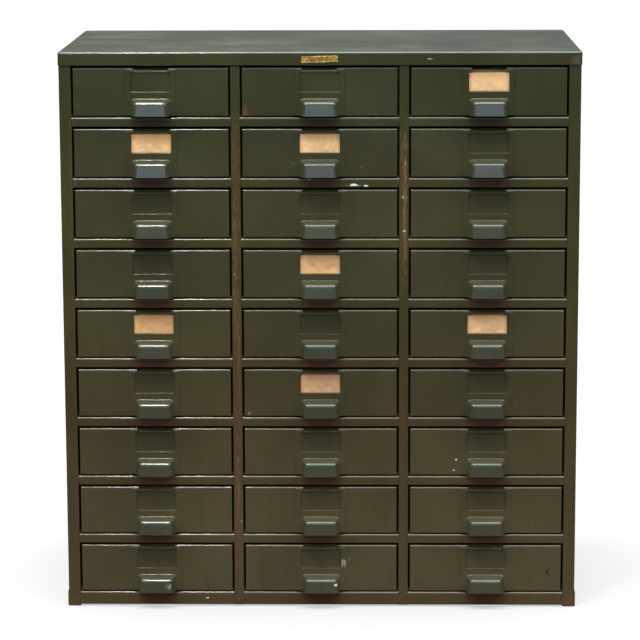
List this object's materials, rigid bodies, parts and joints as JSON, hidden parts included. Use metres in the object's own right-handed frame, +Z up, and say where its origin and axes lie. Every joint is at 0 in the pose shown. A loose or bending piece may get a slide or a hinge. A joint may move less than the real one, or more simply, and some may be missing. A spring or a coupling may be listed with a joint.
{
  "type": "small-parts drawer cabinet",
  "caption": "Free-standing steel cabinet with a grid of shallow drawers, each with a bin pull and card window, sliding in a folded case.",
  "frame": {"origin": "on the floor under the middle of the cabinet's overall box, pulls included", "axes": "+Z up, the drawer fronts face -Y, +X is to the right of someone facing the drawers"},
  "size_m": [0.8658, 0.4784, 0.946],
  "materials": {
    "olive_enamel_case": "semi-gloss",
    "olive_enamel_drawer": "semi-gloss",
    "olive_enamel_pull": "semi-gloss",
    "brass_plate": "worn",
    "card_stock": "matte"
  },
  "bodies": {
    "case": {"case_body": "olive_enamel_case", "top_cover": "olive_enamel_case", "base_pan": "olive_enamel_case", "partitions": "olive_enamel_case", "front_rails": "olive_enamel_case", "drawer_runners": "olive_enamel_case"},
    "drawer_r1c1": {"drawer_r1c1_tray": "olive_enamel_drawer", "drawer_r1c1_pull_plate": "olive_enamel_pull"},
    "drawer_r1c2": {"drawer_r1c2_tray": "olive_enamel_drawer", "drawer_r1c2_pull_plate": "olive_enamel_pull"},
    "drawer_r1c3": {"drawer_r1c3_tray": "olive_enamel_drawer", "drawer_r1c3_pull_plate": "olive_enamel_pull"},
    "drawer_r2c1": {"drawer_r2c1_tray": "olive_enamel_drawer", "drawer_r2c1_pull_plate": "olive_enamel_pull"},
    "drawer_r2c2": {"drawer_r2c2_tray": "olive_enamel_drawer", "drawer_r2c2_pull_plate": "olive_enamel_pull"},
    "drawer_r2c3": {"drawer_r2c3_tray": "olive_enamel_drawer", "drawer_r2c3_pull_plate": "olive_enamel_pull"},
    "drawer_r3c1": {"drawer_r3c1_tray": "olive_enamel_drawer", "drawer_r3c1_pull_plate": "olive_enamel_pull"},
    "drawer_r3c2": {"drawer_r3c2_tray": "olive_enamel_drawer", "drawer_r3c2_pull_plate": "olive_enamel_pull"},
    "drawer_r3c3": {"drawer_r3c3_tray": "olive_enamel_drawer", "drawer_r3c3_pull_plate": "olive_enamel_pull"},
    "drawer_r4c1": {"drawer_r4c1_tray": "olive_enamel_drawer", "drawer_r4c1_pull_plate": "olive_enamel_pull"},
    "drawer_r4c2": {"drawer_r4c2_tray": "olive_enamel_drawer", "drawer_r4c2_pull_plate": "olive_enamel_pull"},
    "drawer_r4c3": {"drawer_r4c3_tray": "olive_enamel_drawer", "drawer_r4c3_pull_plate": "olive_enamel_pull"},
    "drawer_r5c1": {"drawer_r5c1_tray": "olive_enamel_drawer", "drawer_r5c1_pull_plate": "olive_enamel_pull"},
    "drawer_r5c2": {"drawer_r5c2_tray": "olive_enamel_drawer", "drawer_r5c2_pull_plate": "olive_enamel_pull"},
    "drawer_r5c3": {"drawer_r5c3_tray": "olive_enamel_drawer", "drawer_r5c3_pull_plate": "olive_enamel_pull"},
    "drawer_r6c1": {"drawer_r6c1_tray": "olive_enamel_drawer", "drawer_r6c1_pull_plate": "olive_enamel_pull"},
    "drawer_r6c2": {"drawer_r6c2_tray": "olive_enamel_drawer", "drawer_r6c2_pull_plate": "olive_enamel_pull"},
    "drawer_r6c3": {"drawer_r6c3_tray": "olive_enamel_drawer", "drawer_r6c3_pull_plate": "olive_enamel_pull"},
    "drawer_r7c1": {"drawer_r7c1_tray": "olive_enamel_drawer", "drawer_r7c1_pull_plate": "olive_enamel_pull"},
    "drawer_r7c2": {"drawer_r7c2_tray": "olive_enamel_drawer", "drawer_r7c2_pull_plate": "olive_enamel_pull"},
    "drawer_r7c3": {"drawer_r7c3_tray": "olive_enamel_drawer", "drawer_r7c3_pull_plate": "olive_enamel_pull"},
    "drawer_r8c1": {"drawer_r8c1_tray": "olive_enamel_drawer", "drawer_r8c1_pull_plate": "olive_enamel_pull"},
    "drawer_r8c2": {"drawer_r8c2_tray": "olive_enamel_drawer", "drawer_r8c2_pull_plate": "olive_enamel_pull"},
    "drawer_r8c3": {"drawer_r8c3_tray": "olive_enamel_drawer", "drawer_r8c3_pull_plate": "olive_enamel_pull"},
    "drawer_r9c1": {"drawer_r9c1_tray": "olive_enamel_drawer", "drawer_r9c1_pull_plate": "olive_enamel_pull"},
    "drawer_r9c2": {"drawer_r9c2_tray": "olive_enamel_drawer", "drawer_r9c2_pull_plate": "olive_enamel_pull"},
    "drawer_r9c3": {"drawer_r9c3_tray": "olive_enamel_drawer", "drawer_r9c3_pull_plate": "olive_enamel_pull"}
  },
  "joints": [
    {"name": "drawer_r1c1_slide", "type": "slide", "parent": "case", "child": "drawer_r1c1", "axis": [0, -1, 0], "range_m": [0, 0.3398]},
    {"name": "drawer_r1c2_slide", "type": "slide", "parent": "case", "child": "drawer_r1c2", "axis": [0, -1, 0], "range_m": [0, 0.3398]},
    {"name": "drawer_r1c3_slide", "type": "slide", "parent": "case", "child": "drawer_r1c3", "axis": [0, -1, 0], "range_m": [0, 0.3398]},
    {"name": "drawer_r2c1_slide", "type": "slide", "parent": "case", "child": "drawer_r2c1", "axis": [0, -1, 0], "range_m": [0, 0.3398]},
    {"name": "drawer_r2c2_slide", "type": "slide", "parent": "case", "child": "drawer_r2c2", "axis": [0, -1, 0], "range_m": [0, 0.3398]},
    {"name": "drawer_r2c3_slide", "type": "slide", "parent": "case", "child": "drawer_r2c3", "axis": [0, -1, 0], "range_m": [0, 0.3398]},
    {"name": "drawer_r3c1_slide", "type": "slide", "parent": "case", "child": "drawer_r3c1", "axis": [0, -1, 0], "range_m": [0, 0.3398]},
    {"name": "drawer_r3c2_slide", "type": "slide", "parent": "case", "child": "drawer_r3c2", "axis": [0, -1, 0], "range_m": [0, 0.3398]},
    {"name": "drawer_r3c3_slide", "type": "slide", "parent": "case", "child": "drawer_r3c3", "axis": [0, -1, 0], "range_m": [0, 0.3398]},
    {"name": "drawer_r4c1_slide", "type": "slide", "parent": "case", "child": "drawer_r4c1", "axis": [0, -1, 0], "range_m": [0, 0.3398]},
    {"name": "drawer_r4c2_slide", "type": "slide", "parent": "case", "child": "drawer_r4c2", "axis": [0, -1, 0], "range_m": [0, 0.3398]},
    {"name": "drawer_r4c3_slide", "type": "slide", "parent": "case", "child": "drawer_r4c3", "axis": [0, -1, 0], "range_m": [0, 0.3398]},
    {"name": "drawer_r5c1_slide", "type": "slide", "parent": "case", "child": "drawer_r5c1", "axis": [0, -1, 0], "range_m": [0, 0.3398]},
    {"name": "drawer_r5c2_slide", "type": "slide", "parent": "case", "child": "drawer_r5c2", "axis": [0, -1, 0], "range_m": [0, 0.3398]},
    {"name": "drawer_r5c3_slide", "type": "slide", "parent": "case", "child": "drawer_r5c3", "axis": [0, -1, 0], "range_m": [0, 0.3398]},
    {"name": "drawer_r6c1_slide", "type": "slide", "parent": "case", "child": "drawer_r6c1", "axis": [0, -1, 0], "range_m": [0, 0.3398]},
    {"name": "drawer_r6c2_slide", "type": "slide", "parent": "case", "child": "drawer_r6c2", "axis": [0, -1, 0], "range_m": [0, 0.3398]},
    {"name": "drawer_r6c3_slide", "type": "slide", "parent": "case", "child": "drawer_r6c3", "axis": [0, -1, 0], "range_m": [0, 0.3398]},
    {"name": "drawer_r7c1_slide", "type": "slide", "parent": "case", "child": "drawer_r7c1", "axis": [0, -1, 0], "range_m": [0, 0.3398]},
    {"name": "drawer_r7c2_slide", "type": "slide", "parent": "case", "child": "drawer_r7c2", "axis": [0, -1, 0], "range_m": [0, 0.3398]},
    {"name": "drawer_r7c3_slide", "type": "slide", "parent": "case", "child": "drawer_r7c3", "axis": [0, -1, 0], "range_m": [0, 0.3398]},
    {"name": "drawer_r8c1_slide", "type": "slide", "parent": "case", "child": "drawer_r8c1", "axis": [0, -1, 0], "range_m": [0, 0.3398]},
    {"name": "drawer_r8c2_slide", "type": "slide", "parent": "case", "child": "drawer_r8c2", "axis": [0, -1, 0], "range_m": [0, 0.3398]},
    {"name": "drawer_r8c3_slide", "type": "slide", "parent": "case", "child": "drawer_r8c3", "axis": [0, -1, 0], "range_m": [0, 0.3398]},
    {"name": "drawer_r9c1_slide", "type": "slide", "parent": "case", "child": "drawer_r9c1", "axis": [0, -1, 0], "range_m": [0, 0.3398]},
    {"name": "drawer_r9c2_slide", "type": "slide", "parent": "case", "child": "drawer_r9c2", "axis": [0, -1, 0], "range_m": [0, 0.3398]},
    {"name": "drawer_r9c3_slide", "type": "slide", "parent": "case", "child": "drawer_r9c3", "axis": [0, -1, 0], "range_m": [0, 0.3398]}
  ]
}
